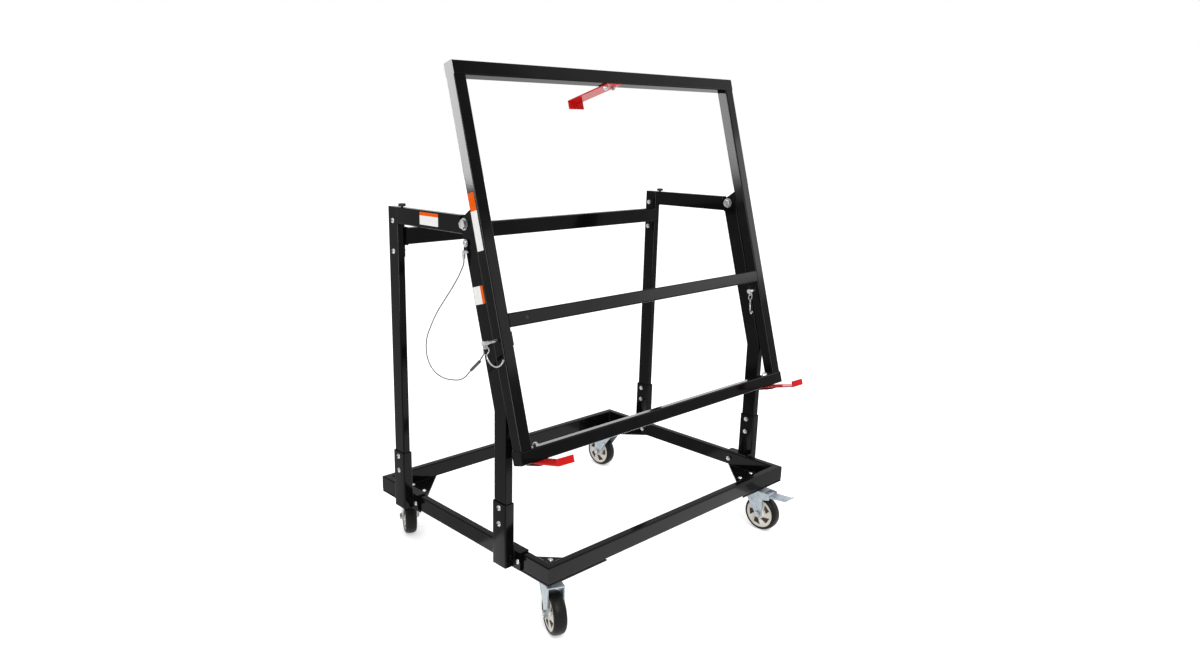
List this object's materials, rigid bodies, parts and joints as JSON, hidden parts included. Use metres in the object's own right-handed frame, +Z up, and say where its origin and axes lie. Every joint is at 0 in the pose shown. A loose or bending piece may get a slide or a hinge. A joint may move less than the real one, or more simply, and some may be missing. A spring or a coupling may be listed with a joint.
{
  "type": "drywall cart",
  "caption": "Rolling drywall cart in black steel tube, with a tilting table frame, swivelling red hooks, lock pins and swivel casters with brakes",
  "frame": {"origin": "on the floor under the middle of the part's box", "axes": "+X to the right across the cart, seen from the table's face; +Y to the rear, away from the table's face; +Z up"},
  "size_m": [1.0217, 0.808, 1.2439],
  "materials": {
    "black_powder_coat": "gloss black powder coat",
    "zinc_fastener": "bright zinc plating",
    "zinc_plate": "bluish zinc plating",
    "bright_steel": "bright steel",
    "steel_cable": "stranded steel cable",
    "dark_sleeve": "dark shrunk sleeve over the cable's ferrule",
    "clip_plastic": "off-white clip",
    "red_paint": "gloss red paint",
    "cream_hub": "cream moulded plastic",
    "black_tread": "dark rubber tread",
    "black_rubber": "black rubber",
    "grey_pedal": "satin grey"
  },
  "bodies": {
    "chassis": {"front_base_bar": "black_powder_coat", "rear_base_bar": "black_powder_coat", "left_base_bar": "black_powder_coat", "right_base_bar": "black_powder_coat", "corner_gussets": "black_powder_coat", "front_left_socket": "black_powder_coat", "front_right_socket": "black_powder_coat", "rear_left_socket": "black_powder_coat", "rear_right_socket": "black_powder_coat", "front_left_leg": "black_powder_coat", "front_right_leg": "black_powder_coat", "rear_left_leg": "black_powder_coat", "rear_right_leg": "black_powder_coat", "left_arm": "black_powder_coat", "right_arm": "black_powder_coat", "rear_crossbar": "black_powder_coat", "table_bumpers": "black_rubber", "lock_brackets": "black_powder_coat", "leg_bolts": "zinc_fastener", "caster_bolts": "zinc_fastener", "caster_plates": "zinc_plate", "lanyard_clip": "clip_plastic"},
    "table": {"left_rail": "black_powder_coat", "right_rail": "black_powder_coat", "top_bar": "black_powder_coat", "middle_bar": "black_powder_coat", "bottom_bar": "black_powder_coat", "pivot_ears": "black_powder_coat", "pivot_bolts": "zinc_fastener", "pivot_washers": "zinc_fastener", "top_hook": "red_paint", "top_hook_bolts": "zinc_fastener", "hook_bolts": "zinc_fastener", "hook_keepers": "black_powder_coat", "lanyard": "steel_cable", "lanyard_ferrule": "dark_sleeve"},
    "left_hook_body": {"left_hook": "red_paint"},
    "right_hook_body": {"right_hook": "red_paint"},
    "left_pin_body": {"left_lock_pin": "bright_steel", "left_pin_bail": "bright_steel"},
    "right_pin_body": {"right_lock_pin": "bright_steel", "right_pin_bail": "bright_steel"},
    "front_left_swivel_body": {"front_left_fork": "zinc_plate", "front_left_axle": "zinc_fastener"},
    "front_left_wheel": {"front_left_hub": "cream_hub", "front_left_tyre": "black_tread"},
    "front_right_swivel_body": {"front_right_fork": "zinc_plate", "front_right_axle": "zinc_fastener"},
    "front_right_wheel": {"front_right_hub": "cream_hub", "front_right_tyre": "black_tread"},
    "front_right_pedal_body": {"front_right_pedal": "grey_pedal"},
    "rear_left_swivel_body": {"rear_left_fork": "zinc_plate", "rear_left_axle": "zinc_fastener"},
    "rear_left_wheel": {"rear_left_hub": "cream_hub", "rear_left_tyre": "black_tread"},
    "rear_right_swivel_body": {"rear_right_fork": "zinc_plate", "rear_right_axle": "zinc_fastener"},
    "rear_right_wheel": {"rear_right_hub": "cream_hub", "rear_right_tyre": "black_tread"},
    "rear_right_pedal_body": {"rear_right_pedal": "grey_pedal"}
  },
  "joints": [
    {"name": "table_tilt", "type": "hinge", "parent": "chassis", "child": "table", "pos_m": [0.01425, -0.09174, 0.905], "axis": [-1, 0, 0], "range_deg": [0, 74]},
    {"name": "left_hook_swing", "type": "hinge", "parent": "table", "child": "left_hook_body", "pos_m": [-0.41775, -0.27718, 0.40703], "axis": [0, 0.2756, 0.9613], "range_deg": [-52, 68]},
    {"name": "right_hook_swing", "type": "hinge", "parent": "table", "child": "right_hook_body", "pos_m": [0.44625, -0.27718, 0.40703], "axis": [0, 0.2756, 0.9613], "range_deg": [-54, 66]},
    {"name": "left_pin_slide", "type": "slide", "parent": "table", "child": "left_pin_body", "axis": [1, 0, 0], "range_m": [-0.016, 0.014]},
    {"name": "right_pin_slide", "type": "slide", "parent": "table", "child": "right_pin_body", "axis": [1, 0, 0], "range_m": [-0.016, 0.014]},
    {"name": "front_left_swivel", "type": "hinge", "parent": "chassis", "child": "front_left_swivel_body", "pos_m": [-0.38275, -0.282, 0.128], "axis": [0, 0, 1], "continuous": true},
    {"name": "front_left_spin", "type": "hinge", "parent": "front_left_swivel_body", "child": "front_left_wheel", "pos_m": [-0.39739, -0.31489, 0.05], "axis": [0.9135, -0.4067, 0], "continuous": true},
    {"name": "front_right_swivel", "type": "hinge", "parent": "chassis", "child": "front_right_swivel_body", "pos_m": [0.41125, -0.282, 0.128], "axis": [0, 0, 1], "continuous": true},
    {"name": "front_right_spin", "type": "hinge", "parent": "front_right_swivel_body", "child": "front_right_wheel", "pos_m": [0.41125, -0.318, 0.05], "axis": [1, 0, 0], "continuous": true},
    {"name": "front_right_brake", "type": "hinge", "parent": "front_right_swivel_body", "child": "front_right_pedal_body", "pos_m": [0.41125, -0.34, 0.109], "axis": [1, 0, 0], "range_deg": [0, 12]},
    {"name": "rear_left_swivel", "type": "hinge", "parent": "chassis", "child": "rear_left_swivel_body", "pos_m": [-0.38275, 0.282, 0.128], "axis": [0, 0, 1], "continuous": true},
    {"name": "rear_left_spin", "type": "hinge", "parent": "rear_left_swivel_body", "child": "rear_left_wheel", "pos_m": [-0.36697, 0.31436, 0.05], "axis": [-0.8988, 0.4384, 0], "continuous": true},
    {"name": "rear_right_swivel", "type": "hinge", "parent": "chassis", "child": "rear_right_swivel_body", "pos_m": [0.41125, 0.282, 0.128], "axis": [0, 0, 1], "continuous": true},
    {"name": "rear_right_spin", "type": "hinge", "parent": "rear_right_swivel_body", "child": "rear_right_wheel", "pos_m": [0.41125, 0.318, 0.05], "axis": [-1, 0, 0], "continuous": true},
    {"name": "rear_right_brake", "type": "hinge", "parent": "rear_right_swivel_body", "child": "rear_right_pedal_body", "pos_m": [0.41125, 0.34, 0.109], "axis": [-1, 0, 0], "range_deg": [0, 12]}
  ]
}
